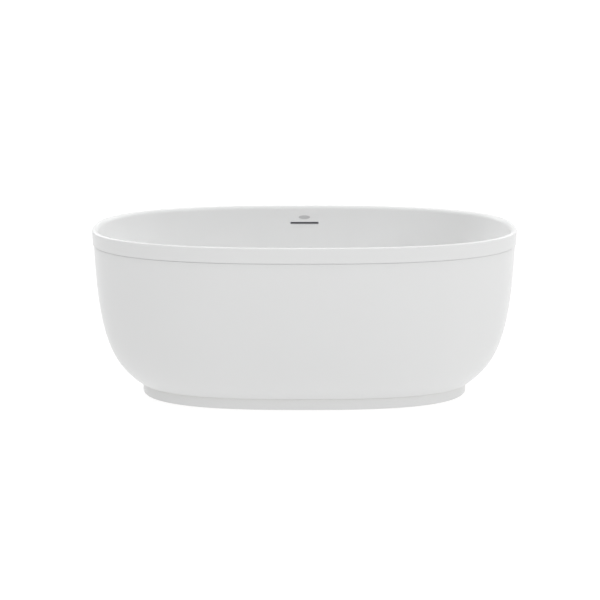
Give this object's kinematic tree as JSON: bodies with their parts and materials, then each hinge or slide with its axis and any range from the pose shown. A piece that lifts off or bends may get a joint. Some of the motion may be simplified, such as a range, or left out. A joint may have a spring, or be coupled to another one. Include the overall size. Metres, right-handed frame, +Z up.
{
  "type": "freestanding bathtub",
  "caption": "Oval double-walled acrylic bathtub with a flat rim band, plinth base, toe-tap drain, slotted overflow and levelling feet.",
  "frame": {"origin": "centre of the footprint at floor level", "axes": "+X along the tub, +Y towards the overflow wall at the rear, +Z up; the front faces -Y"},
  "size_m": [1.4988, 0.7494, 0.605],
  "materials": {
    "acrylic": "gloss",
    "sealant": "satin",
    "adhesive": "matte",
    "timber": "resin-sealed plywood",
    "frame_steel": "satin powder coat",
    "zinc_steel": "zinc plated",
    "chrome": "polished",
    "brass": "turned",
    "rubber": "matte",
    "pipe_plastic": "moulded",
    "hose_plastic": "corrugated",
    "dark_plastic": "moulded",
    "plate_metal": "satin"
  },
  "bodies": {
    "tub": {"basin": "acrylic", "skirt": "acrylic", "plinth": "acrylic", "seam_sealant": "sealant", "rim_adhesive": "adhesive", "base_board": "timber", "frame_rails": "frame_steel", "cross_members": "frame_steel", "frame_screws": "zinc_steel", "foot_weld_nuts": "zinc_steel", "foot_lock_nuts": "zinc_steel", "frame_brackets": "zinc_steel", "bracket_screws": "zinc_steel", "bracket_bolts": "zinc_steel", "bracket_nuts": "zinc_steel", "plinth_screws": "zinc_steel", "drain_flange": "chrome", "flange_gasket": "rubber", "drain_gasket": "rubber", "drain_washer": "pipe_plastic", "drain_lock_nut": "brass", "waste_tee": "pipe_plastic", "tee_seal": "rubber", "tailpiece": "brass", "tailpiece_washer": "rubber", "tailpiece_nut": "brass", "click_cartridge": "brass", "overflow_trim": "chrome", "overflow_gasket": "rubber", "overflow_housing": "dark_plastic", "overflow_hose": "hose_plastic", "hose_clamps": "zinc_steel", "maker_plate": "plate_metal"},
    "stopper": {"click_plunger": "brass", "stopper_seal": "rubber", "stopper_cap": "chrome", "click_spring": "zinc_steel"},
    "front_left_pad": {"foot_pad_front_left": "dark_plastic"},
    "front_left_stem": {"foot_stem_front_left": "zinc_steel"},
    "front_right_pad": {"foot_pad_front_right": "dark_plastic"},
    "front_right_stem": {"foot_stem_front_right": "zinc_steel"},
    "rear_left_pad": {"foot_pad_rear_left": "dark_plastic"},
    "rear_left_stem": {"foot_stem_rear_left": "zinc_steel"},
    "rear_right_pad": {"foot_pad_rear_right": "dark_plastic"},
    "rear_right_stem": {"foot_stem_rear_right": "zinc_steel"}
  },
  "joints": [
    {"name": "stopper_lift", "type": "slide", "parent": "tub", "child": "stopper", "axis": [0, 0, 1], "range_m": [0, 0.009], "deforming": ["click_spring"]},
    {"name": "front_left_travel", "type": "slide", "parent": "tub", "child": "front_left_pad", "axis": [0, 0, -1], "range_m": [0, 0.0175]},
    {"name": "front_left_turn", "type": "hinge", "parent": "front_left_pad", "child": "front_left_stem", "pos_m": [-0.4, -0.175, 0.05], "axis": [0, 0, -1], "range_deg": [0, 3600]},
    {"name": "front_right_travel", "type": "slide", "parent": "tub", "child": "front_right_pad", "axis": [0, 0, -1], "range_m": [0, 0.0175]},
    {"name": "front_right_turn", "type": "hinge", "parent": "front_right_pad", "child": "front_right_stem", "pos_m": [0.4, -0.175, 0.05], "axis": [0, 0, -1], "range_deg": [0, 3600]},
    {"name": "rear_left_travel", "type": "slide", "parent": "tub", "child": "rear_left_pad", "axis": [0, 0, -1], "range_m": [0, 0.0175]},
    {"name": "rear_left_turn", "type": "hinge", "parent": "rear_left_pad", "child": "rear_left_stem", "pos_m": [-0.4, 0.175, 0.05], "axis": [0, 0, -1], "range_deg": [0, 3600]},
    {"name": "rear_right_travel", "type": "slide", "parent": "tub", "child": "rear_right_pad", "axis": [0, 0, -1], "range_m": [0, 0.0175]},
    {"name": "rear_right_turn", "type": "hinge", "parent": "rear_right_pad", "child": "rear_right_stem", "pos_m": [0.4, 0.175, 0.05], "axis": [0, 0, -1], "range_deg": [0, 3600]}
  ],
  "couplings": [
    {"joint": "front_left_turn", "follows": "front_left_travel", "rad_per_m": 3590.4},
    {"joint": "front_right_turn", "follows": "front_right_travel", "rad_per_m": 3590.4},
    {"joint": "rear_left_turn", "follows": "rear_left_travel", "rad_per_m": 3590.4},
    {"joint": "rear_right_turn", "follows": "rear_right_travel", "rad_per_m": 3590.4}
  ]
}
